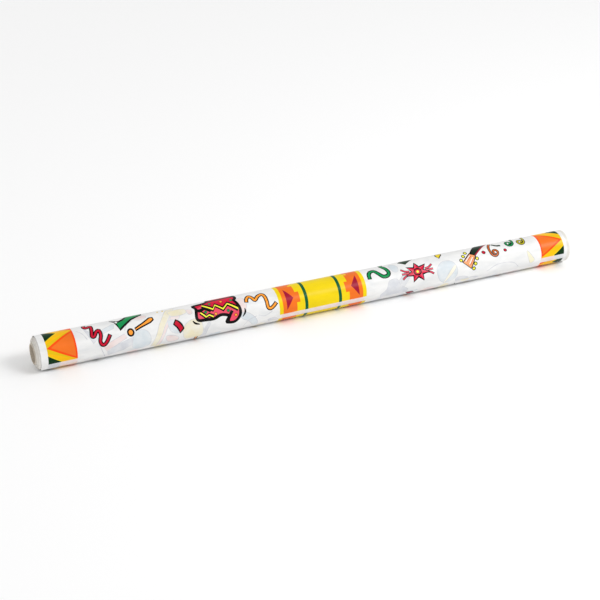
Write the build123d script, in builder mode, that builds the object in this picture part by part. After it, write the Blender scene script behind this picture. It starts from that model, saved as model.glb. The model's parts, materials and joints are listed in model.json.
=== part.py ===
from build123d import *
import os
from math import cos, degrees, radians, sin

# A roll of thin printed plastic film, 40 inches wide, wound on a paperboard core.
# Millimetres. +X runs along the roll, +Z is up and the loose end of the film lies on
# the front, the -Y side. The origin is under the middle of the roll, on the surface
# that it lies on. Angles round the roll are in degrees in the YZ plane, from +Y (the
# back) through 90 (the top) to 180 (the front) and 270 (the bottom).

os.makedirs("parts", exist_ok=True)

# Driving dimensions.
film_width = 1016.0          # a 40 inch web
roll_radius = 29.5           # over the outermost turn
bore_radius = 15.9           # 1 1/4 inch core
core_wall = 2.3
tape_thickness = 0.3
tape_length = 60.0           # along the roll
tape_span = 70.0             # degrees round the core
tape_pitch = 340.0
tape_count = 3
pack_count = 6               # packs of turns that slide on each other
sliding_gap = 0.3            # between neighbouring packs
outer_thickness = 0.9        # outermost turns, over the packs
free_thickness = 0.6         # the free end, which lies on the last pack
flat_half_angle = 6.5        # half the flat that the roll rests on

# How far each pack and the core have crept along the roll, from the core outwards.
core_shift = -7.0
pack_shifts = [-5.0, -4.2, -3.4, -2.6, -1.4, 2.5]

# The free end hangs from the top of the roll and follows its front.
hinge_start = 90.0
hinge_step = 15.0
strip_count = 8
strip_gap = 0.3
cut_angle = 211.0            # the cut edge, halfway along the roll
cut_skew = 8.2               # how far the cut edge runs out of line, end to end

core_radius = bore_radius + core_wall
film_start = core_radius + tape_thickness
packs_end = roll_radius - outer_thickness
pack_thickness = (packs_end - film_start - sliding_gap * (pack_count - 1)) / pack_count
axis_height = roll_radius * cos(radians(flat_half_angle))
axis = (0.0, axis_height)
gap_angle = degrees(strip_gap / 2 / roll_radius)
free_inner = roll_radius - free_thickness
tape_angles = (90 - tape_span / 2, 90 + tape_span / 2)
outer_stop = 360 + hinge_start - gap_angle
last_hinge = hinge_start + (strip_count - 1) * hinge_step
edge_block = roll_radius / 2     # reaches past the film on one side of the cut edge
block_width = 1.1 * film_width

# The roll's ends are level with the origin, so the outermost turn stands a little off it.
film_centre = -(core_shift + max(pack_shifts)) / 2


def end_plane(length, shift):
    """The plane of the left end of something this long, crept this far."""
    return Plane.YZ.offset(film_centre + shift - length / 2)


def on_roll(radius, angle):
    """A point of the YZ plane at this radius and angle round the roll."""
    return (
        axis[0] + radius * cos(radians(angle)),
        axis[1] + radius * sin(radians(angle)),
    )


def sector_outline(inner, outer, start, stop):
    """The outline of part of a ring round the roll's axis."""
    middle = (start + stop) / 2
    with BuildLine() as outline:
        ThreePointArc(on_roll(outer, start), on_roll(outer, middle), on_roll(outer, stop))
        Line(on_roll(outer, stop), on_roll(inner, stop))
        ThreePointArc(on_roll(inner, stop), on_roll(inner, middle), on_roll(inner, start))
        Line(on_roll(inner, start), on_roll(outer, start))
    return outline.edges()


def cut_edge_plane(offset):
    """The plane of the cut edge, or one this far past it, facing on down the roll."""
    tangent = Vector(0, -sin(radians(cut_angle)), cos(radians(cut_angle)))
    along = Vector(film_width, 0, 0) - tangent * cut_skew
    facing = tangent + Vector(cut_skew / film_width, 0, 0)
    y, z = on_roll(roll_radius, cut_angle)
    return Plane(origin=(film_centre, y, z), x_dir=along, z_dir=facing).offset(offset)


# Core: a spirally wound paperboard tube, open at both ends.
with BuildPart() as core_tube:
    with BuildSketch(end_plane(film_width, core_shift)):
        with Locations(axis):
            Circle(core_radius)
            Circle(bore_radius, mode=Mode.SUBTRACT)
    extrude(amount=film_width)
core_tube.part.label = "core_tube"
export_step(core_tube.part, "parts/core_tube.step")

# Starter tape: short pieces that hold the first turn of film to the core.
with BuildPart() as starter_tape:
    for index in range(tape_count):
        place = (index - (tape_count - 1) / 2) * tape_pitch
        with BuildSketch(end_plane(tape_length, core_shift + place)):
            make_face(sector_outline(core_radius, film_start, *tape_angles))
        extrude(amount=tape_length)
starter_tape.part.label = "starter_tape"
export_step(starter_tape.part, "parts/starter_tape.step")


def make_winding(index):
    """One pack of turns, a tube that slides on the pack inside it."""
    inner = film_start + index * (pack_thickness + sliding_gap)
    with BuildPart() as winding:
        with BuildSketch(end_plane(film_width, pack_shifts[index])):
            with Locations(axis):
                Circle(inner + pack_thickness)
                Circle(inner, mode=Mode.SUBTRACT)
        extrude(amount=film_width)
    winding.part.label = f"winding_{index + 1}"
    export_step(winding.part, f"parts/winding_{index + 1}.step")


for index in range(pack_count):
    make_winding(index)

# Outermost turn: the part that stays on the roll, from the cut edge round the underside
# and the back to the top, with the flat that the roll's weight presses into it.
with BuildPart() as outer_turn:
    with BuildSketch(end_plane(film_width, 0)):
        make_face(sector_outline(packs_end, roll_radius, last_hinge, outer_stop))
    extrude(amount=film_width)
    with BuildSketch(cut_edge_plane(strip_gap / 2)):
        Rectangle(block_width, edge_block)
    extrude(amount=-edge_block, mode=Mode.SUBTRACT)
    split(bisect_by=Plane.XY, keep=Keep.TOP)
outer_turn.part.label = "outer_turn"
export_step(outer_turn.part, "parts/outer_turn.step")


def make_free_strip(index):
    """One strip of the free end. The last one ends at the skewed cut edge."""
    start = hinge_start + index * hinge_step
    stop = start + hinge_step - gap_angle
    is_last = index == strip_count - 1
    if is_last:
        stop = start + 2 * hinge_step
    with BuildPart() as strip:
        with BuildSketch(end_plane(film_width, 0)):
            make_face(sector_outline(free_inner, roll_radius, start + gap_angle, stop))
        extrude(amount=film_width)
        if is_last:
            with BuildSketch(cut_edge_plane(-strip_gap / 2)):
                Rectangle(block_width, edge_block)
            extrude(amount=edge_block, mode=Mode.SUBTRACT)
    strip.part.label = f"free_end_{index + 1}"
    export_step(strip.part, f"parts/free_end_{index + 1}.step")


for index in range(strip_count):
    make_free_strip(index)
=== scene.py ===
import json
import math
import random

import bpy
import numpy as np
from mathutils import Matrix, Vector
from mathutils.geometry import delaunay_2d_cdt


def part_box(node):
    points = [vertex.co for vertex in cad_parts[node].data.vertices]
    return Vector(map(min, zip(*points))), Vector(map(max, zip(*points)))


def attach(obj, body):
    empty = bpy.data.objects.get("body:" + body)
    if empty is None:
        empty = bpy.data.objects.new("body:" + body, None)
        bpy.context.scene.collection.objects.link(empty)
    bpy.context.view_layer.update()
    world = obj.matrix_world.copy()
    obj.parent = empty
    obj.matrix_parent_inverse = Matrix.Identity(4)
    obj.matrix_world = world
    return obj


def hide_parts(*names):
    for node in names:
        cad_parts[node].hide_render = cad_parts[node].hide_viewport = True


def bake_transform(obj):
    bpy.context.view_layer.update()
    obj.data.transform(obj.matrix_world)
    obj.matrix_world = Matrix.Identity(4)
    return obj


# A roll of thin printed plastic film on a paperboard core. The film is one web: its
# print is drawn flat, in millimetres, as a list of inked outlines, then cut into
# triangles and wound on the roll. Across a film, u runs from its middle towards +X.
# Along it, v is 0 at the top of the roll and grows down the front to the cut edge;
# it is negative over the top, down the back, underneath and on under the free end.

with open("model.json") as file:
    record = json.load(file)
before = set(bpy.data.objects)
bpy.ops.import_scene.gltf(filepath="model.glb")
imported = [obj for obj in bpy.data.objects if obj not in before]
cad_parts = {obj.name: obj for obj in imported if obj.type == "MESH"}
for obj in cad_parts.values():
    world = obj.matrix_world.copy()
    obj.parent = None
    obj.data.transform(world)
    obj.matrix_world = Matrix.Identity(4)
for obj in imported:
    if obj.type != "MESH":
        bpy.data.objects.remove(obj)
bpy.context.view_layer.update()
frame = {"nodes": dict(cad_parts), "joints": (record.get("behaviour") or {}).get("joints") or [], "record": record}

MM = 0.001
joints = {joint["name"]: joint for joint in frame["joints"]}
mounts = {mount["name"]: mount for mount in frame["record"]["mounts"]}
STRIPS = 8
PACKS = 6

# Sizes from the frame, in metres.
axis_z = mounts["core_bore"]["pos_m"][2]
bore_radius = mounts["core_bore"]["dims"]["r_mm"] * MM
hinges = [joints[f"free_end_{k + 1}_bend"]["pos_m"] for k in range(STRIPS)]
film_centre = hinges[0][0]
roll_radius = hinges[0][2] - axis_z
film_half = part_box("outer_turn")[1].x - film_centre
core_low, core_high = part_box("core_tube")
core_radius = core_high.y
STRIP_ANGLE = math.asin((hinges[0][1] - hinges[1][1]) / roll_radius)


def cut_angle(side):
    """Angle round the roll of the cut edge at the film's left (-1) or right (1) end."""
    last = frame["nodes"]["free_end_8"].data.vertices
    place = film_centre + side * film_half
    ends = [v.co for v in last if abs(v.co.x - place) < MM]
    return max(math.atan2(p.z - axis_z, p.y) % math.tau for p in ends)


# Sizes of the film and its print, in millimetres.
RADIUS = roll_radius / MM
HALF = film_half / MM
TURN = math.tau * RADIUS
FILM = 0.1                       # drawn twice as thick as it is, to show its edge
LAP = 0.13                       # how much deeper each turn lies
RULING = math.radians(2.5)       # between the straight lines that make the film round
PANEL = 25.4                     # between the cross lines that let it ripple
CLOSEST = 0.01                   # points nearer than this become one
CUT_LEFT = (cut_angle(-1) - math.pi / 2) * RADIUS
CUT_RIGHT = (cut_angle(1) - math.pi / 2) * RADIUS
WEB_START = -TURN - 8            # a little past the top, under the free end
MARGIN = 9.8                     # unprinted, along the cut edge
BORDER_OUT = 496.2
BORDER_IN = 446.6
FADED_GREY = 476                 # a faded border is grey beyond this, pink within it
GREY_END = 503                   # from here to its right end the film is greyer
BAND = 84                        # half the width of the middle band
STRIPE_IN = 29.6                 # its green stripes
STRIPE_OUT = 35.4
REPEAT = 55.6                    # of the borders and the middle band
PHASES = {-1: 27.8, 0: 26.3, 1: 19.6}    # v of a repeat at the left, middle and right
LINE = 2.4                       # the print's black outlines
RIPPLE = 0.05                    # how far the film stands off the roll here and there
CURL = 0.28                      # how far its cut edge does
CURL_REACH = 7                   # how far back from the cut edge it starts to


# ---------------------------------------------------------------- drawing the print
art = []                         # (ink, outline), the later over the earlier


def patch(ink, points):
    """A flat area of one ink."""
    art.append((ink, [tuple(p) for p in points]))


def ellipse(centre, across, along, turn=0.0, count=18):
    """The outline of an ellipse of these half sizes, turned by this many degrees."""
    c, s = math.cos(math.radians(turn)), math.sin(math.radians(turn))
    angles = [math.tau * i / count for i in range(count)]
    flat = [(across * math.cos(a), along * math.sin(a)) for a in angles]
    return [(centre[0] + x * c - y * s, centre[1] + x * s + y * c) for x, y in flat]


def smooth(points, steps=4, closed=False):
    """A smooth line through the points."""
    p = np.array(points, float)
    if closed:
        p = np.vstack([p[-1], p, p[0], p[1]])
    else:
        p = np.vstack([2 * p[0] - p[1], p, 2 * p[-1] - p[-2]])
    line = []
    for a, b, c, d in zip(p, p[1:], p[2:], p[3:]):
        for t in np.arange(steps) / steps:
            line.append(
                0.5 * (2 * b + (c - a) * t + (2 * a - 5 * b + 4 * c - d) * t**2
                       + (3 * b - a - 3 * c + d) * t**3)
            )
    if not closed:
        line.append(p[-2])
    return np.array(line)


def ribbon(ink, path, width, closed=False):
    """A band along a path, of one width or of a width for each point."""
    path = np.array(path, float)
    if closed:
        path = np.vstack([path, path[:1]])
    tangent = np.gradient(path, axis=0)
    if closed:
        tangent[0] = tangent[-1] = path[1] - path[-2]
    tangent /= np.linalg.norm(tangent, axis=1)[:, None] + 1e-9
    reach = np.broadcast_to(np.array(width, float) / 2, len(path))[:, None]
    side = np.stack([-tangent[:, 1], tangent[:, 0]], 1) * reach
    left, right = path + side, path - side
    for i in range(len(path) - 1):
        patch(ink, [left[i], right[i], right[i + 1]])
        patch(ink, [left[i], right[i + 1], left[i + 1]])


def outlined(ink, points, line=LINE):
    """A filled shape with a black outline."""
    patch(ink, points)
    ribbon("black", points, line, closed=True)


def streamer(ink, points, width, line=1.6 * LINE):
    """A curling paper streamer with a black outline."""
    path = smooth(points)
    first, last = path[0] - path[1], path[-1] - path[-2]
    start = [path[0] + first / np.linalg.norm(first) * line / 3]
    end = [path[-1] + last / np.linalg.norm(last) * line / 3]
    ribbon("black", np.vstack([start, path, end]), width + line)
    ribbon(ink, path, width)


def dot(ink, centre, radius, line=0.0):
    """A round spot, with a black rim if line is given."""
    if line:
        patch("black", ellipse(centre, radius + line, radius + line, count=14))
    patch(ink, ellipse(centre, radius, radius, count=14))


def mark(points, width=1.0):
    """A loose black brush mark."""
    path = smooth(points)
    swell = np.sin(np.linspace(0.35, math.pi - 0.35, len(path)))
    ribbon("black", path, width * swell)


def spiral(ink, centre, radius, turns, start, width, tail=(), way=1):
    """A curl that winds in to its centre, with a tail that leads into it."""
    count = int(turns * 16)
    angles = start + way * np.linspace(0, turns * math.tau, count)
    radii = np.linspace(radius, width * 0.6, count)
    curl = [(centre[0] + r * math.cos(a), centre[1] + r * math.sin(a))
            for r, a in zip(radii, angles)]
    path = np.vstack([smooth(list(tail) + [curl[0]])[:-1], curl]) if len(tail) else curl
    ribbon("black", path, width + 1.2 * LINE)
    ribbon(ink, path, width)


def turned(points, place, turn=0.0, size=1.0):
    """Points of a motif, turned by degrees, sized and put in place."""
    c, s = math.cos(math.radians(turn)) * size, math.sin(math.radians(turn)) * size
    return [(place[0] + x * c - y * s, place[1] + x * s + y * c) for x, y in points]


# ---------------------------------------------------------------- parts of the print
def repeats(side):
    """v of the middle, the start and the end of each repeat that reaches onto the web."""
    phase = PHASES[side]
    first = math.floor((WEB_START - phase) / REPEAT)
    last = math.ceil((CUT_LEFT - phase) / REPEAT)
    middles = [phase + n * REPEAT for n in range(first, last + 1)]
    return [(v, v - REPEAT / 2, v + REPEAT / 2) for v in middles]


def borders():
    """Yellow borders with a row of orange triangles and green ones between them."""
    depth = BORDER_OUT - BORDER_IN
    for side in (-1, 1):
        def at(outward, along):
            return side * (BORDER_IN + outward), along

        for v, low, high in repeats(side):
            patch("amber", [at(0, low), at(depth, low), at(depth, high), at(0, high)])
            patch("gold", [at(0, low), at(depth, v - 7.5), at(depth, v + 7.5), at(0, high)])
            patch("vermilion", [at(0, low), at(depth, v), at(0, high)])
            patch("orange", [at(3, low + 5.5), at(depth - 7, v), at(3, high - 5.5)])
            for corner, into in ((low, 1), (high, -1)):
                patch("yellow", [at(depth, corner), at(25, corner),
                                 at(depth, corner + into * 17)])
                patch("green_dark", [at(depth, corner), at(27.5, corner),
                                     at(depth, corner + into * 15.4)])


def middle_band():
    """A yellow band with stepped orange blocks, maroon triangles and green stripes."""
    for v, low, high in repeats(0):
        patch("yellow", [(-BAND, low), (BAND, low), (BAND, high), (-BAND, high)])
        for side in (-1, 1):
            steps = ((56.5, REPEAT / 2), (50.5, 25.5), (44.0, 9.5))
            for inner, reach in steps:
                patch("orange", [(side * 77, v - reach), (side * inner, v - reach),
                                 (side * inner, v + reach), (side * 77, v + reach)])
            patch("maroon", [(side * 69.8, v - 19.5), (side * 69.8, v + 19.5),
                             (side * 55.8, v)])
            patch("green_stripe", [(side * STRIPE_OUT, low), (side * STRIPE_IN, low),
                                   (side * STRIPE_IN, high), (side * STRIPE_OUT, high)])


def show_through():
    """Pale shapes: the print of the turns beneath, seen through the film."""
    angular = (
        ("haze_grey", [(-429, 2), (-425, 18), (-418, 35), (-408, 28), (-415, 23), (-421, 13)]),
        ("haze_blue", [(-398, 14), (-374, 5), (-379, 16), (-400, 22)]),
        ("haze_pink", [(-403, 42), (-364, 29), (-360, 36), (-397, 53)]),
        ("haze_grey", [(-396, 55), (-376, 44), (-349, 37), (-348, 48), (-368, 58),
                       (-394, 64)]),
        ("haze_beige", [(-321, 67), (-302, 26), (-282, -2), (-266, -4), (-293, 31),
                        (-311, 67)]),
        ("haze_pink", [(-311, 67), (-293, 31), (-268, 2), (-265, 8), (-290, 36), (-305, 67)]),
        ("haze_grey", [(-228, 64), (-224, 48), (-216, 38), (-211, 40), (-218, 52),
                       (-221, 66)]),
        ("haze_grey", [(166, 20), (150, 34), (138, 54), (150, 60), (162, 44), (174, 30)]),
    )
    curved = (
        ("haze_pink", [(-343, 2), (-330, -2), (-318, 2), (-322, 8), (-336, 9)]),
        ("haze_blue", [(-348, 33), (-336, 28), (-324, 32), (-319, 46), (-325, 61), (-351, 60)]),
        ("haze_pink", [(-281, 20), (-272, 12), (-262, 14), (-266, 22), (-276, 30)]),
        ("haze_pink", [(-293, 48), (-280, 49), (-270, 55), (-272, 62), (-288, 62)]),
        ("haze_blue", [(-286, 24), (-276, 22), (-263, 30), (-262, 44), (-272, 47),
                       (-284, 40)]),
        ("haze_beige", [(-281, 4), (-268, 2), (-251, 4), (-250, 14), (-266, 17),
                        (-279, 14)]),
        ("haze_pink", [(-249, 8), (-241, 9), (-240, 17), (-247, 18)]),
        ("haze_beige", [(-262, 42), (-250, 30), (-233, 29), (-226, 42), (-228, 62),
                        (-244, 67), (-259, 62)]),
        ("haze_pink", [(-157, 8), (-146, 6), (-142, 20), (-147, 33), (-156, 30)]),
        ("haze_blue", [(-156, 37), (-146, 34), (-131, 46), (-125, 60), (-132, 65),
                       (-142, 52), (-154, 45)]),
        ("haze_grey", [(-106, 58), (-93, 56), (-86, 64), (-98, 67)]),
        ("haze_blue", [(140, 0), (149, -3), (155, 7), (151, 18), (142, 15)]),
        ("haze_grey", [(112, 56), (124, 46), (130, 32), (146, 31), (152, 44),
                       (167, 54), (160, 62), (136, 66), (116, 63)]),
        ("haze_blue", [(228, 28), (243, 16), (262, 20), (269, 38), (260, 55),
                       (240, 57), (229, 45)]),
        ("haze_cream", [(240, 60), (246, 46), (256, 34), (265, 27), (267, 32), (254, 46)]),
        ("haze_grey", [(265, 53), (278, 51), (291, 56), (284, 62), (268, 61)]),
        ("haze_yellow", [(418, 28), (417, 37), (423, 54), (432, 49), (427, 40)]),
    )
    rounded = [(ink, smooth(points, 3, closed=True)) for ink, points in curved]
    for ink, outline in [*angular, *rounded]:
        patch(ink, outline)
        ribbon("haze_line", outline, 1.0, closed=True)
    lines = (
        [(-441, 6), (-433, 14), (-427, 26)],
        [(-409, 38), (-404, 52), (-399, 67)],
        [(-362, 24), (-356, 14), (-345, 8)],
        [(-226, 66), (-221, 48), (-212, 37)],
        [(-152, 62), (-142, 50), (-127, 45)],
        [(-124, 44), (-112, 48), (-98, 42)],
        [(170, 24), (156, 34), (148, 52)],
        [(330, 52), (352, 42), (384, 44), (398, 56)],
        [(276, 64), (300, 58), (322, 62)],
    )
    for points in lines:
        ribbon("haze_line", smooth(points), 1.4)


def show_through_behind():
    """More pale shapes over the back and underneath."""
    chance = random.Random(11)
    apart, stagger = 46, 20
    inks = ("haze_blue", "haze_grey", "haze_beige", "haze_pink")
    wedge = [(-14, -4), (-3, -8), (13, -5), (9, 6), (-6, 8)]
    for row, v in enumerate((-30, -56, -82, -108, -134, -160)):
        for column in range(-9, 10):
            place = (column * apart + stagger * (row % 2) + chance.uniform(-9, 9),
                     v + chance.uniform(-6, 6))
            turn, size = chance.uniform(0, 180), chance.uniform(0.7, 1.3)
            if (row + column) % 3:
                outline = ellipse(place, 13 * size, 9 * size, turn)
            else:
                outline = turned(wedge, place, turn, size)
            patch(inks[(row + 3 * column) % 4], outline)


def party_left():
    """The party favours printed left of the middle band."""
    streamer("crimson", [(-425, -5), (-426, 0), (-423, 3), (-415, 1), (-416, 13),
                         (-418, 22), (-414, 23), (-409, 16), (-404, 14), (-403, 23),
                         (-406, 33), (-404, 39), (-400, 40), (-395, 36), (-388, 26)], 3.4)
    outlined("green", [(-369, 21), (-373, 6), (-360, 1), (-348, -12), (-322, -13),
                       (-325, -5), (-345, 4)], 4.0)
    mark([(-381, -4), (-374, 1), (-366, 3), (-358, -3)], 5.0)
    dot("white", (-371, 4), 2.2)
    outlined("tangerine", ellipse((-352.5, 28.8), 5, 5.8), 3.0)
    outlined("tangerine", [(-344, 23.5), (-328, 16.5), (-315, 9), (-309.5, 9.5),
                           (-309, 14.5), (-315, 18.5), (-330, 23), (-343.5, 27.5)], 2.6)
    dot("gold", (-296, -2.6), 1.8)
    dot("gold", (-287, -2.6), 1.8)
    outlined("crimson", [(-277, 30), (-272, 23), (-267, 27), (-263, 33), (-260.5, 40),
                         (-268, 47), (-269, 42), (-272, 36)], 2.8)
    mark([(-243, 31), (-239, 36), (-231, 39)], 3.4)
    mark([(-147, 27), (-147.5, 34), (-153, 41)], 3.4)
    streamer("tangerine", [(-141, 17), (-139, 11.3), (-133.5, 6.5), (-129, 10.5),
                           (-125, 17), (-118, 10.5), (-110, 7.5), (-106, 12.5),
                           (-105, 23), (-105, 33), (-101, 36.6), (-95, 34),
                           (-89, 29)], 3.6)


def curled_motif():
    """The big curling motif of pinks with yellow zigzags across it."""
    edge = [(-235, 3), (-231.5, 11), (-235, 26), (-232, 32.4), (-222, 33.5), (-205, 34.5),
            (-192, 30.4), (-181, 32.5), (-178, 36), (-183, 43.8), (-179, 46.3),
            (-170, 47.3), (-163, 43.8), (-157, 36), (-155.5, 26.8), (-158, 15.4),
            (-161, 8), (-157, 2.6), (-158, -7), (-166, -16), (-184, -18), (-202, -14),
            (-208, -3), (-218, 0.5)]
    across = [(-219, 6), (-202.5, 18), (-197, 10.3), (-185, 21), (-175, 12.4), (-158, 26)]
    patch("pink", edge)
    patch("rose", edge[:2] + across + edge[edge.index((-158, 15.4)):])
    fold = [(-233, 14), (-226, 16), (-217, 13), (-207, 20)]
    lower = [(-226, 20), (-218, 29), (-212, 26.5), (-205, 31)]
    rim = [(-208, -3), (-190, -4), (-172, -5), (-158, -4)]
    toe = [(-170, 27), (-175, 33), (-179, 40), (-180, 45)]
    ribbon("black", fold, 6.5)
    ribbon("black", toe, 5.5)
    for ink, points, band in (("lemon", across, 10.0), ("lemon", lower, 8.0),
                              ("green_dark", rim, 4.6)):
        ribbon("black", points, band)
        ribbon(ink, points, 0.3 * band)
    for centre in ((-205, 5.1), (-166, 6), (-217, 20.5), (-177, 25.5)):
        dot("green", centre, 2.2, 0.7)
    for centre in ((-184, 5), (-200, 27), (-165, 35.5)):
        dot("tangerine", centre, 2.2, 0.7)
    ribbon("black", smooth(edge, 3, closed=True), 5.4, closed=True)


def star_ornament(centre):
    """A seven-pointed paper star with three tassels on each side."""
    u, v = centre
    for side in (-1, 1):
        for spread in (-9, 0, 9):
            streamer("pink", [(u + side * 16, v + spread / 3), (u + side * 24, v + spread / 2),
                              (u + side * 31, v + spread)], 2.2, 1.8)
    tips = [(1.0 if i % 2 == 0 else 0.5, math.radians(90 + i * 360 / 14)) for i in range(14)]
    points = [(u + 24 * r * math.cos(a), v - 19 * r * math.sin(a)) for r, a in tips]
    patch("rose", points)
    for i in range(0, 14, 2):
        patch("pink", [points[i], points[i + 1], (u, v)])
    ribbon("black", points, 3.2, closed=True)
    outlined("crimson", ellipse(centre, 7, 6, count=20), 2.2)
    dot("lemon", centre, 2.4)


def guitar():
    """The head of a guitar at the front, its neck and body over the back."""
    patch("green_deep", [(302, 13), (310, 17.5), (340, -5), (366, -24), (352, -33),
                         (318, -5)])
    ribbon("black", [(302, 12), (318, -5), (352, -33)], 3.0)
    ribbon("maroon", [(311, 17), (340, -5), (366, -24)], 2.6)
    outlined("sienna", ellipse((380, -48), 27, 20, turn=-36, count=32), 2.4)
    dot("black", (374, -43), 7.0)
    outlined("salmon", [(282, 26), (297, 40), (311.5, 17.5), (301, 11)], 2.4)
    for shift in (0.0, 6.5):
        ribbon("white", [(288 + shift, 25 + shift), (300 + shift * 0.7, 15 + shift * 0.7)], 1.8)
        ribbon("maroon", [(289.5 + shift, 27 + shift), (302 + shift * 0.6, 16.5 + shift * 0.7)],
               0.9)
    for centre in ((280, 21.6), (287, 14.4), (294, 7.7), (312.5, 23.7), (307, 32.4),
                   (302.5, 40.7)):
        dot("lemon", centre, 2.2, 1.6)


def party_right():
    """The party favours printed right of the middle band."""
    streamer("green", [(94.5, 21), (95.5, 13), (101, 7), (108, 6.5), (114, 14),
                       (121, 21.5), (130, 21.5), (134, 16), (132, 7), (127, -3),
                       (128, -9)], 4.2)
    outlined("green_dark", [(172, 5), (162, -4), (172, -14), (194, -10)], 2.0)
    star_ornament((189, 25.5))
    outlined("yellow", [(237, 0), (240, 7.5), (249, -2), (252, -9), (240, -9)], 2.2)
    guitar()
    dot("crimson", (330, 14.4), 2.7, 1.3)
    dot("crimson", (374, 18.5), 2.2, 1.2)
    spiral("sienna", (352, 18.5), 8.6, 1.3, math.pi, 2.4,
           tail=[(353, -7), (347, 1), (343.6, 9)], way=-1)
    streamer("green_dark", [(355, -2), (361, 4), (369, 6)], 2.2, 2.2)
    spiral("green", (388, 4), 8.4, 1.3, 0.0, 2.4, tail=[(400, -18), (398, -6)])
    spiral("olive", (412, 6), 7.8, 1.3, 0.0, 2.4, tail=[(423, -16), (421, -4)])


def favours_behind():
    """Smaller favours over the back, underneath and on under the free end."""
    choice = random.Random(7)
    apart, stagger = 59, 14
    near_band, near_border, over_guitar = 112, 425, 300
    inks = ("crimson", "green", "tangerine", "rose", "gold", "sienna", "green_dark")
    rows = (-38, -66, -94, -146, -172)
    wave = [(-12, 4), (-6, -5), (0, 4), (6, -5), (12, 4)]
    kite = [(-8, -5), (8, -6), (5, 6), (-4, 5)]
    for row, v in enumerate(rows):
        for column in range(-7, 8):
            u = column * apart + stagger * (row % 2)
            on_guitar = row == 0 and u > over_guitar
            if abs(u) < near_band or abs(u) > near_border or on_guitar:
                continue
            ink = inks[(row * 3 + column) % len(inks)]
            place = (u + choice.uniform(-6, 6), v + choice.uniform(-4, 4))
            turn = choice.uniform(0, 360)
            kind = (row + column) % 5
            if kind == 0:
                streamer(ink, turned(wave, place, turn), 3.2)
            elif kind == 1:
                spiral(ink, place, 8.5, 1.6, turn, 2.4)
            elif kind == 2:
                outlined(ink, turned(kite, place, turn, 1.2), 1.6)
            elif kind == 3:
                outlined(ink, ellipse(place, 5, 6, turn), 1.6)
                streamer(ink, turned([(7, 0), (14, 1), (22, 4)], place, turn), 2.4)
            else:
                dot(ink, place, 3.0, 0.8)
                dot(inks[(row + column) % 7], (place[0] + 14, place[1] + 5), 2.4, 0.7)
    outlined("maroon", [(165, -122), (178, -121), (184, -115), (172, -112)], 2.0)
    mark([(267, -118), (269, -113), (273, -106)], 1.6)


def cut_line(u):
    """v of the cut edge at u."""
    return CUT_LEFT + (CUT_RIGHT - CUT_LEFT) * (u + HALF) / (2 * HALF)


def along_cut(ink, start, end):
    """A stretch of the margin beside the cut edge, between two places u."""
    patch(ink, [(start, cut_line(start) - MARGIN), (end, cut_line(end) - MARGIN),
                (end, cut_line(end)), (start, cut_line(start))])


def margins():
    """Bare film along the cut edge, with the turn beneath showing through it."""
    for start, end in ((-HALF, -BORDER_IN), (-BAND, BAND), (BORDER_IN, HALF)):
        along_cut("white", start, end)
    faded_band = BAND - 4
    along_cut("haze_pink", -faded_band, faded_band)
    for side in (-1, 1):
        along_cut("haze_pink", *sorted((side * BORDER_IN, side * FADED_GREY)))
        along_cut("haze_grey", *sorted((side * FADED_GREY, side * BORDER_OUT)))
        along_cut("haze_grey", *sorted((side * STRIPE_IN, side * STRIPE_OUT)))


def faded_corner():
    """The left border just past the cut edge, on the turn beneath, is much paler."""
    low = cut_line(-HALF) - TURN
    high = low + 12
    split = -FADED_GREY - 1
    patch("haze_peach", [(split, low), (-BORDER_IN, low), (-BORDER_IN, high), (split, high)])
    patch("haze_grey", [(-BORDER_OUT, low), (split, low), (split, high), (-BORDER_OUT, high)])


def greyer_end():
    """The last few millimetres of the film at its right end."""
    patch("edge", [(GREY_END, WEB_START), (HALF, WEB_START), (HALF, CUT_LEFT),
                   (GREY_END, CUT_LEFT)])


show_through()
show_through_behind()
borders()
middle_band()
party_left()
curled_motif()
party_right()
favours_behind()
margins()
faded_corner()
greyer_end()


# ---------------------------------------------------------------- inks and materials
INKS = {
    "white": (230, 230, 229),
    "black": (2, 1, 2),
    "amber": (243, 184, 4),
    "gold": (222, 186, 14),
    "yellow": (234, 206, 16),
    "lemon": (246, 240, 66),
    "vermilion": (240, 76, 8),
    "orange": (234, 112, 32),
    "tangerine": (250, 156, 54),
    "salmon": (240, 160, 104),
    "sienna": (200, 100, 40),
    "maroon": (158, 16, 50),
    "crimson": (196, 14, 46),
    "rose": (208, 16, 56),
    "pink": (226, 74, 98),
    "olive": (186, 176, 20),
    "green": (10, 140, 76),
    "green_dark": (0, 46, 12),
    "green_stripe": (8, 92, 54),
    "green_deep": (6, 38, 24),
    "haze_blue": (206, 214, 219),
    "haze_pink": (228, 209, 206),
    "haze_peach": (240, 206, 182),
    "haze_beige": (228, 220, 190),
    "haze_cream": (234, 229, 210),
    "haze_grey": (206, 208, 213),
    "haze_line": (196, 197, 203),
    "haze_yellow": (232, 226, 190),
    "edge": (217, 215, 208),
}


def linear(colour):
    """A screen colour, 0 to 255, as the linear light that a shader takes."""
    return tuple((c / 255 / 12.92 if c <= 10 else ((c / 255 + 0.055) / 1.055) ** 2.4)
                 for c in colour)


def opaque(colour):
    return tuple(colour) + (1.0,)


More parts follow.
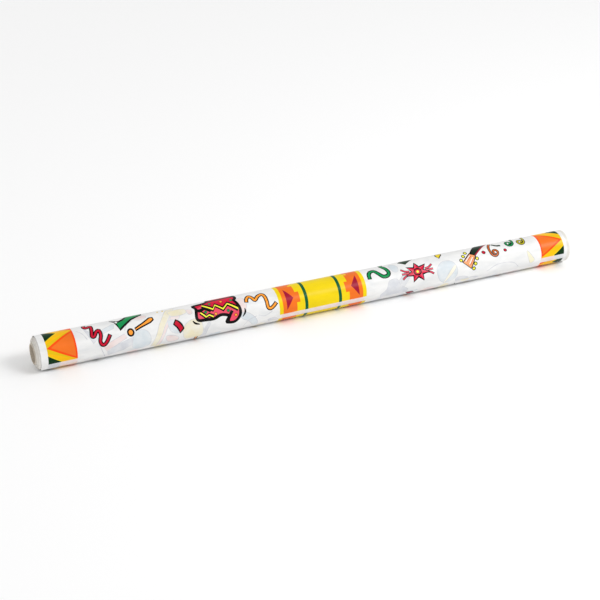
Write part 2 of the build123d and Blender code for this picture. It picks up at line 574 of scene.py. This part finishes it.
class Nodes:
    """A short way to build a material's nodes."""

    def __init__(self, name):
        self.material = bpy.data.materials.new(name)
        self.material.use_nodes = True
        self.tree = self.material.node_tree
        self.shader = self.tree.nodes["Principled BSDF"]

    def add(self, kind, links=None, **settings):
        node = self.tree.nodes.new("ShaderNode" + kind)
        for key, value in settings.items():
            setattr(node, key, value)
        for key, value in (links or {}).items():
            self.feed(node, key, value)
        return node

    def feed(self, node, key, value):
        socket = node.inputs[key]
        if isinstance(value, bpy.types.NodeSocket):
            self.tree.links.new(value, socket)
        else:
            socket.default_value = value

    def set(self, **values):
        for key, value in values.items():
            self.feed(self.shader, key.replace("_", " "), value)

    def place(self, scale):
        """The surface's own place in the row frame, stretched by scale."""
        spot = self.add("TexCoord").outputs["Object"]
        return self.add("VectorMath", {0: spot, 1: scale}, operation="MULTIPLY").outputs[0]

    def noise(self, vector, scale, detail=3.0):
        made = self.add("TexNoise", {"Vector": vector, "Scale": scale, "Detail": detail})
        return made.outputs["Fac"]

    def mean(self, first, second):
        """The mean of two factors, which stays within 0 to 1 where their sum would not."""
        total = self.add("Math", {0: first, 1: second}, operation="ADD").outputs[0]
        return self.add("Math", {0: total, 1: 2.0}, operation="DIVIDE").outputs[0]

    def between(self, factor, low, high):
        """A factor of 0 to 1 spread over the range from low to high."""
        links = {"Value": factor, "To Min": low, "To Max": high}
        return self.add("MapRange", links).outputs["Result"]

    def tint(self, factor, first, second):
        """The first colour where the factor is 0, the second where it is 1."""
        node = self.add("Mix", data_type="RGBA")
        for index, value in ((0, factor), (6, first), (7, second)):
            self.feed(node, index, value)
        return node.outputs[2]

    def bump(self, height, strength, distance):
        links = {"Height": height, "Strength": strength, "Distance": distance}
        return self.add("Bump", links).outputs["Normal"]


def ink_material(ink, behind=False):
    """Ink on satin film, or the same ink seen through the film from its back."""
    colour, bare = np.array(linear(INKS[ink])), np.array(linear(INKS["white"]))
    if behind:
        colour = 0.35 * colour + 0.65 * bare
    nodes = Nodes(("back_" if behind else "ink_") + ink)
    streaks = nodes.noise(nodes.place((1.0, 3.0, 3.0)), 26.0)
    grain = nodes.noise(nodes.place((1.0, 1.0, 1.0)), 900.0, 2.0)
    tone = nodes.between(streaks, -0.4, 1.4)
    shown = nodes.tint(tone, opaque(colour * 0.88), opaque(colour * 1.05))
    if ink.startswith("haze"):
        touching = nodes.noise(nodes.place((1.0, 1.0, 1.0)), 75.0, 6.0)
        shown = nodes.tint(nodes.between(touching, -0.7, 1.1), shown, opaque(bare))
    # On bare film, noise lays bluish-grey patches over the white: painted shade standing in for the shading of
    # crinkles.
    if ink == "white":
        painted_crinkle_shade = nodes.noise(nodes.place((1.0, 2.0, 2.0)), 38.0, 6.0)
        crinkle_shade_colour = opaque(linear((204, 207, 210)))
        shown = nodes.tint(nodes.between(painted_crinkle_shade, -0.9, 1.0), shown, crinkle_shade_colour)
    nodes.set(
        Base_Color=shown,
        Roughness=nodes.between(grain, 0.24, 0.36),
        IOR=1.5,
        Specular_IOR_Level=0.12,
        Normal=nodes.bump(nodes.noise(nodes.place((0.5, 1.0, 1.0)), 55.0), 0.45, 0.0008),
    )
    return nodes.material


materials = {}


def material_for(ink, behind=False):
    """The one material of this ink, made when it is first asked for."""
    key = ink, behind
    if key not in materials:
        materials[key] = ink_material(ink, behind)
    return materials[key]


# ---------------------------------------------------------------- the web, cut flat
def inside(points, outline):
    """Which of the points lie inside an outline."""
    found = np.zeros(len(points), bool)
    x, y = points[:, 0], points[:, 1]
    for (x0, y0), (x1, y1) in zip(outline, outline[1:] + outline[:1]):
        if y0 != y1:
            beside = x < x0 + (y - y0) * (x1 - x0) / (y1 - y0)
            found ^= ((y0 > y) != (y1 > y)) & beside
    return found


def ruling_lines():
    """v of each straight line across the web. Every sixth is the edge of a piece."""
    first = -STRIP_ANGLE / 2 * RADIUS
    step = RULING * RADIUS
    low = math.ceil((WEB_START - first) / step)
    high = math.floor((CUT_LEFT - first) / step)
    return [first + n * step for n in range(low, high + 1)]


def cut_web():
    """The flat web as points, triangles and the ink of each triangle."""
    border = [(-HALF, WEB_START), (HALF, WEB_START), (HALF, CUT_RIGHT), (-HALF, CUT_LEFT)]
    points, edges = [], []
    for outline in [border] + [outline for _, outline in art]:
        start, count = len(points), len(outline)
        points += outline
        edges += [(start + i, start + (i + 1) % count) for i in range(count)]
    for v in ruling_lines():
        edges.append((len(points), len(points) + 1))
        points += [(-HALF, v), (HALF, v)]
    for u in np.arange(-HALF + PANEL, HALF, PANEL):
        edges.append((len(points), len(points) + 1))
        points += [(u, WEB_START), (u, cut_line(u))]
    made = delaunay_2d_cdt(points, edges, [], 0, CLOSEST)
    snapped = np.round(np.array(made[0]) / CLOSEST) * CLOSEST
    corners, joined = np.unique(snapped, axis=0, return_inverse=True)
    triangles = joined.reshape(-1)[np.array(made[2])]
    triangles = triangles[(triangles != np.roll(triangles, 1, axis=1)).all(1)]
    triangles = triangles[inside(corners[triangles].mean(1), border)]
    triangles = triangles[np.argsort(corners[triangles].mean(1)[:, 0])]
    middles = corners[triangles].mean(1)
    ink_of = np.full(len(triangles), "white", dtype=object)
    for ink, outline in art:
        low, high = np.min(outline, 0), np.max(outline, 0)
        first, last = np.searchsorted(middles[:, 0], (low[0], high[0]))
        inner = first + np.flatnonzero(inside(middles[first:last], outline))
        ink_of[inner] = ink
    return corners, triangles, list(ink_of)


def lift(u, v):
    """How far the film stands off the roll: ripples, and the cut edge curling away."""
    ripple = RIPPLE * np.sin(u / 47 + 3 * np.sin(u / 190)) * np.cos(math.tau * v / TURN)
    past = np.clip((v - cut_line(u)) / CURL_REACH + 1, 0, 1)
    return ripple + past**2 * (CURL + 0.16 * np.sin(u / 61))


def wound(flat, depth):
    """Flat points wound on the roll, this far below the film's outer face.

    Underneath, the roll's weight presses the film flat against what it lies on.
    """
    u, v = flat[:, 0], flat[:, 1]
    angle = math.pi / 2 + v / RADIUS
    radius = RADIUS - LAP * (CUT_LEFT - v) / TURN + lift(u, v) - depth
    y, z = radius * np.cos(angle) * MM, axis_z + radius * np.sin(angle) * MM
    return np.stack([film_centre + u * MM, y, np.maximum(z, depth * MM)], 1)


def outward(flat):
    """The directions straight out of the roll at flat points of the web."""
    angle = math.pi / 2 + flat[:, 1] / RADIUS
    return np.stack([0 * angle, np.cos(angle), np.sin(angle)], 1)


def make_object(name, points, faces, slots, indices, normals=None):
    """A mesh object. Faces take the material slots that indices give them."""
    mesh = bpy.data.meshes.new(name)
    mesh.from_pydata([tuple(p) for p in points], [], [tuple(map(int, f)) for f in faces])
    for material in slots:
        mesh.materials.append(material)
    mesh.polygons.foreach_set("material_index", np.array(indices, np.int32))
    mesh.update()
    if normals is not None:
        mesh.polygons.foreach_set("use_smooth", np.ones(len(faces), bool))
        mesh.normals_split_custom_set_from_vertices([tuple(n) for n in normals])
    made = bpy.data.objects.new(name, mesh)
    bpy.context.scene.collection.objects.link(made)
    return made


def film_piece(name, corners, triangles, inks):
    """One piece of the film, a closed sheet with print on both faces."""
    used, local = np.unique(triangles, return_inverse=True)
    local = local.reshape(-1, 3)
    flat = corners[used]
    count = len(used)
    edge_of = {}
    for a, b, c in local:
        for edge in ((a, b), (b, c), (c, a)):
            edge_of[edge] = True
    rims = [(a, b) for a, b in edge_of if (b, a) not in edge_of]
    faces = [(c, b, a) for a, b, c in local]
    faces += [(a + count, b + count, c + count) for a, b, c in local]
    faces += [(a, b, b + count, a + count) for a, b in rims]
    names = sorted({*inks, "white"})
    slots = [material_for(ink) for ink in names]
    slots += [material_for(ink, behind=True) for ink in names]
    indices = [names.index(ink) for ink in inks]
    indices += [names.index(ink) + len(names) for ink in inks]
    indices += [names.index("white")] * len(rims)
    points = np.vstack([wound(flat, 0), wound(flat, FILM)])
    normals = np.vstack([outward(flat), -outward(flat)])
    return make_object(name, points, faces, slots, indices, normals)


def build_film():
    """The web as film_turn, a piece at each hinge, and the stretch at the cut edge."""
    corners, triangles, inks = cut_web()
    middles = corners[triangles][:, :, 1].mean(1)
    strip = STRIP_ANGLE * RADIUS
    number = np.clip(np.floor(middles / strip + 0.5) + 1, 0, STRIPS + 1).astype(int)
    names = ["film_turn", *(f"film_bend_{k + 1}" for k in range(STRIPS)), "film_end"]
    pieces = []
    for n, name in enumerate(names):
        mine = np.flatnonzero(number == n)
        pieces.append(film_piece(name, corners, triangles[mine], [inks[i] for i in mine]))
    return pieces


film_turn, *film_bends, film_end = build_film()
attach(film_turn, "roll_body")
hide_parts("outer_turn")
for k, piece in enumerate(film_bends):
    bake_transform(piece)
    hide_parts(f"free_end_{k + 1}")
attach(film_end, f"free_end_{STRIPS}")

# ---------------------------------------------------------------- the turns beneath
GAP = 0.02 * MM                  # left between visible pieces that nearly touch
TAPE = 0.3 * MM                  # the starter tape's thickness, under the first pack
HALF_SLIDING_GAP = 0.15 * MM     # the visible packs meet halfway across the CAD's gap
RINGS_APART = 0.16 * MM
END_SHORT = 0.3 * MM             # about how far short of the film's ends a pack's are


def lathe(name, profile, material, segments=112, sway=None):
    """A closed profile of (x, radius) turned about the roll's axis."""
    points, count = [], len(profile)
    for i in range(segments):
        angle = math.tau * i / segments
        for x, radius in profile:
            along = x + (sway(x, radius, angle) if sway else 0.0)
            points.append((along, radius * math.cos(angle), axis_z + radius * math.sin(angle)))
    faces = []
    for i in range(segments):
        here, there = i * count, (i + 1) % segments * count
        for j in range(count):
            k = (j + 1) % count
            faces.append((there + j, there + k, here + k, here + j))
    made = make_object(name, points, faces, [material], [0] * len(faces))
    made.data.polygons.foreach_set("use_smooth", np.ones(len(faces), bool))
    made.data.set_sharp_from_angle(angle=math.radians(35))
    return made


def pack_span(number):
    """The radii between which one pack of turns is wound."""
    if number == 1:
        inner = core_radius + TAPE + GAP
    else:
        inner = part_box(f"winding_{number - 1}")[1].y + HALF_SLIDING_GAP + GAP
    if number == PACKS:
        outer = roll_radius - (2 * LAP + FILM) * MM
    else:
        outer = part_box(f"winding_{number}")[1].y + HALF_SLIDING_GAP - GAP
    return inner, outer


PACK_MIDDLES = [sum(pack_span(n)) / 2 for n in range(1, PACKS + 1)]
PACK_PLACES = [sum(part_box(f"winding_{n}")[i].x for i in (0, 1)) / 2 for n in range(1, PACKS + 1)]


def turn_profile(number):
    """Outline of one pack: each end is a flight of turns that lie a little unevenly."""
    inner, outer = pack_span(number)
    count = round((outer - inner) / RINGS_APART)
    chance = random.Random(40 + number)
    steps = np.linspace(inner, outer, count + 1)
    ends = []
    for side in (-1, 1):
        drift, end = 0.0, []
        for low, high in zip(steps, steps[1:]):
            drift = 0.72 * drift + chance.uniform(-0.7, 0.7) * MM
            place = np.interp((low + high) / 2, PACK_MIDDLES, PACK_PLACES)
            x = place + side * (film_half - END_SHORT) + drift
            x = min(max(x, core_low.x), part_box("winding_6")[1].x)
            for point in ((x, low), (x, high)):
                if not end or point != end[-1]:
                    end.append(point)
        ends.append(end)
    return ends[0] + ends[1][::-1]


def sway_of(number):
    """The ends of a pack waver a little round the roll."""
    def sway(x, radius, angle):
        side = 1 if x > 0 else -1
        inward = 1 + 0.7 * math.sin(angle * 2 + number + side) + 0.3 * math.sin(angle * 5)
        return -side * 0.2 * MM * inward
    return sway


def from_axis(nodes):
    """How far along, behind and above the middle of the roll's axis a place is."""
    spot = nodes.add("TexCoord").outputs["Object"]
    split = nodes.add("SeparateXYZ", {0: spot}).outputs
    up = nodes.add("Math", {0: split["Z"], 1: axis_z}, operation="SUBTRACT").outputs[0]
    return split["X"], split["Y"], up


def axis_distance(nodes, back, up):
    """Distance from the roll's axis, in metres."""
    flat = nodes.add("CombineXYZ", {"X": back, "Y": up}).outputs[0]
    return nodes.add("VectorMath", {0: flat}, operation="LENGTH").outputs["Value"]


def turns_material():
    """Film edges: pale turns with greyer ones where the print's ink shows."""
    nodes = Nodes("film_edges")
    _, back, up = from_axis(nodes)
    radius = axis_distance(nodes, back, up)
    ring = nodes.add("CombineXYZ", {"X": radius}).outputs[0]
    fine = nodes.noise(ring, 2600.0, 2.0)
    broad = nodes.noise(ring, 420.0, 2.0)
    patches = nodes.noise(nodes.place((30.0, 30.0, 30.0)), 1.6)
    tone = nodes.between(nodes.mean(fine, broad), -0.9, 2.1)
    pale, deep = opaque(linear((252, 250, 247))), opaque(linear((212, 207, 198)))
    rings = nodes.tint(tone, deep, pale)
    grey = opaque(linear((232, 228, 221)))
    worn = nodes.tint(nodes.between(patches, -0.6, 1.2), rings, grey)
    nodes.set(Base_Color=worn, Roughness=nodes.between(fine, 0.4, 0.65),
              Specular_IOR_Level=0.35, Normal=nodes.bump(fine, 0.4, 0.0002))
    return nodes.material


def board_material():
    """Pale grey paperboard, spirally wound, with plies on its ends; down its bore painted shade makes it darker
    and browner.
    """
    pitch, seam_share = 0.11, 0.012
    light, dark = opaque(linear((228, 222, 212))), opaque(linear((186, 176, 160)))
    blotch, seam_brown = opaque(linear((204, 194, 178))), opaque(linear((84, 70, 56)))
    # The bore's darker, browner colours are painted shade for the inside of the tube.
    bore_shade_dark, bore_shade_pale = opaque(linear((176, 163, 145))), opaque(linear((212, 202, 187)))
    nodes = Nodes("paperboard")
    along, back, up = from_axis(nodes)
    radius = axis_distance(nodes, back, up)
    angle = nodes.add("Math", {0: up, 1: back}, operation="ARCTAN2").outputs[0]
    part = nodes.add("Math", {0: angle, 1: math.tau}, operation="DIVIDE").outputs[0]
    pitches = nodes.add("Math", {0: along, 1: pitch}, operation="DIVIDE").outputs[0]
    wrap = nodes.add("Math", {0: pitches, 1: part}, operation="ADD").outputs[0]
    fraction = nodes.add("Math", {0: wrap}, operation="FRACT").outputs[0]
    seam = nodes.add("Math", {0: fraction, 1: seam_share}, operation="LESS_THAN").outputs[0]
    fibres = nodes.noise(nodes.place((0.4, 1.0, 1.0)), 700.0, 4.0)
    blotches = nodes.noise(nodes.place((1.0, 1.0, 1.0)), 40.0)
    plies = nodes.noise(nodes.add("CombineXYZ", {"X": radius}).outputs[0], 2300.0, 1.0)
    board = nodes.tint(nodes.between(nodes.mean(fibres, plies), -0.9, 1.9), dark, light)
    board = nodes.tint(nodes.between(blotches, -0.7, 1.6), board, blotch)
    # Painted shade: within a millimetre of the bore the board turns darker and browner, standing in for the shade
    # inside the tube.
    outside = nodes.add("MapRange", {"Value": radius, "From Min": bore_radius,
                                     "From Max": bore_radius + MM}).outputs["Result"]
    shaded_bore = nodes.tint(nodes.between(fibres, -0.5, 1.5), bore_shade_dark, bore_shade_pale)
    board = nodes.tint(outside, shaded_bore, board)
    nodes.set(Base_Color=nodes.tint(seam, board, seam_brown),
              Roughness=nodes.between(fibres, 0.75, 0.95), Specular_IOR_Level=0.3,
              Normal=nodes.bump(fibres, 0.5, 0.0003))
    return nodes.material


def tape_material():
    """Clear tape that holds the first turn to the core."""
    nodes = Nodes("clear_tape")
    ripple = nodes.noise(nodes.place((1.0, 1.0, 1.0)), 120.0)
    tint = nodes.tint(ripple, opaque(linear((228, 222, 200))), opaque(linear((240, 237, 222))))
    nodes.set(Base_Color=tint, Roughness=nodes.between(ripple, 0.12, 0.25), IOR=1.48,
              Transmission_Weight=0.5, Normal=nodes.bump(ripple, 0.15, 0.0002))
    return nodes.material


def build_packs():
    """The six packs of turns, from the core outwards."""
    material = turns_material()
    bodies = ["core", "layer_2", "layer_3", "layer_4", "layer_5", "roll_body"]
    for number, body in enumerate(bodies, 1):
        piece = lathe(f"pack_{number}", turn_profile(number), material, sway=sway_of(number))
        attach(piece, body)
        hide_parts(f"winding_{number}")


def build_core():
    """The paperboard tube, its ends showing the plies it is wound from."""
    plies, chamfer, ragged = 6, 0.25 * MM, 0.12
    chance = random.Random(5)
    radii = np.linspace(bore_radius, core_radius - GAP, plies + 1)
    low, high = core_low.x, core_high.x
    ends = []
    for x, inward in ((low, 1), (high, -1)):
        end = [(x + inward * chamfer, radii[0])]
        for near, far in zip(radii, radii[1:]):
            step = x + inward * chance.uniform(0, ragged) * MM
            end += [(step, near + chamfer / 5), (step, far - chamfer / 5)]
        end.append((x + inward * chamfer, radii[-1]))
        ends.append(end)
    piece = lathe("core_board", ends[0] + ends[1][::-1], board_material(), segments=144)
    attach(piece, "core")
    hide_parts("core_tube")


build_packs()
build_core()
tape = frame["nodes"]["starter_tape"]
tape.data.materials.clear()
tape.data.materials.append(tape_material())

# ---------------------------------------------------------------- camera, floor, light
LENS = 91.2
LEFT_OF_MIDDLE, IN_FRONT, ABOVE_AXIS = 1.016, 2.168, 1.2127
TILT, SWING = 62.97, -24.4       # degrees up from straight down, and off facing the back

camera = bpy.data.objects.new("camera", bpy.data.cameras.new("camera"))
camera.data.lens = LENS
camera.location = (film_centre - LEFT_OF_MIDDLE, -IN_FRONT, axis_z + ABOVE_AXIS)
camera.rotation_euler = (math.radians(TILT), 0.0, math.radians(SWING))
bpy.context.scene.collection.objects.link(camera)
bpy.context.scene.camera = camera
bpy.context.scene.view_settings.view_transform = "Standard"

floor_nodes = Nodes("floor")
floor_nodes.set(Base_Color=(0.95, 0.95, 0.95, 1.0), Roughness=0.9)
bpy.ops.mesh.primitive_plane_add(size=30.0)
floor = bpy.context.object
floor.name = "floor"
floor.data.materials.append(floor_nodes.material)


def lamp(name, kind, place, target, **settings):
    """A light at a place, aimed at a target."""
    light = bpy.data.lights.new(name, kind)
    for key, value in settings.items():
        setattr(light, key, value)
    made = bpy.data.objects.new(name, light)
    made.location = place
    aim = Vector(target) - Vector(place)
    made.rotation_euler = aim.to_track_quat("-Z", "Y").to_euler()
    bpy.context.scene.collection.objects.link(made)


lamp("front_sky", "SUN", (2.8, -3.0, 3.4), (0.0, 0.0, 0.0), energy=0.72, angle=math.radians(20))
lamp("right_strip", "AREA", (1.5, -1.2, 1.7), (0.45, 0.0, 0.0),
     shape="RECTANGLE", size=1.4, size_y=0.5, energy=18.0)
world = bpy.data.worlds.new("world")
world.use_nodes = True
world.node_tree.nodes["Background"].inputs["Color"].default_value = (1, 1, 1, 1)
world.node_tree.nodes["Background"].inputs["Strength"].default_value = 0.77
bpy.context.scene.world = world
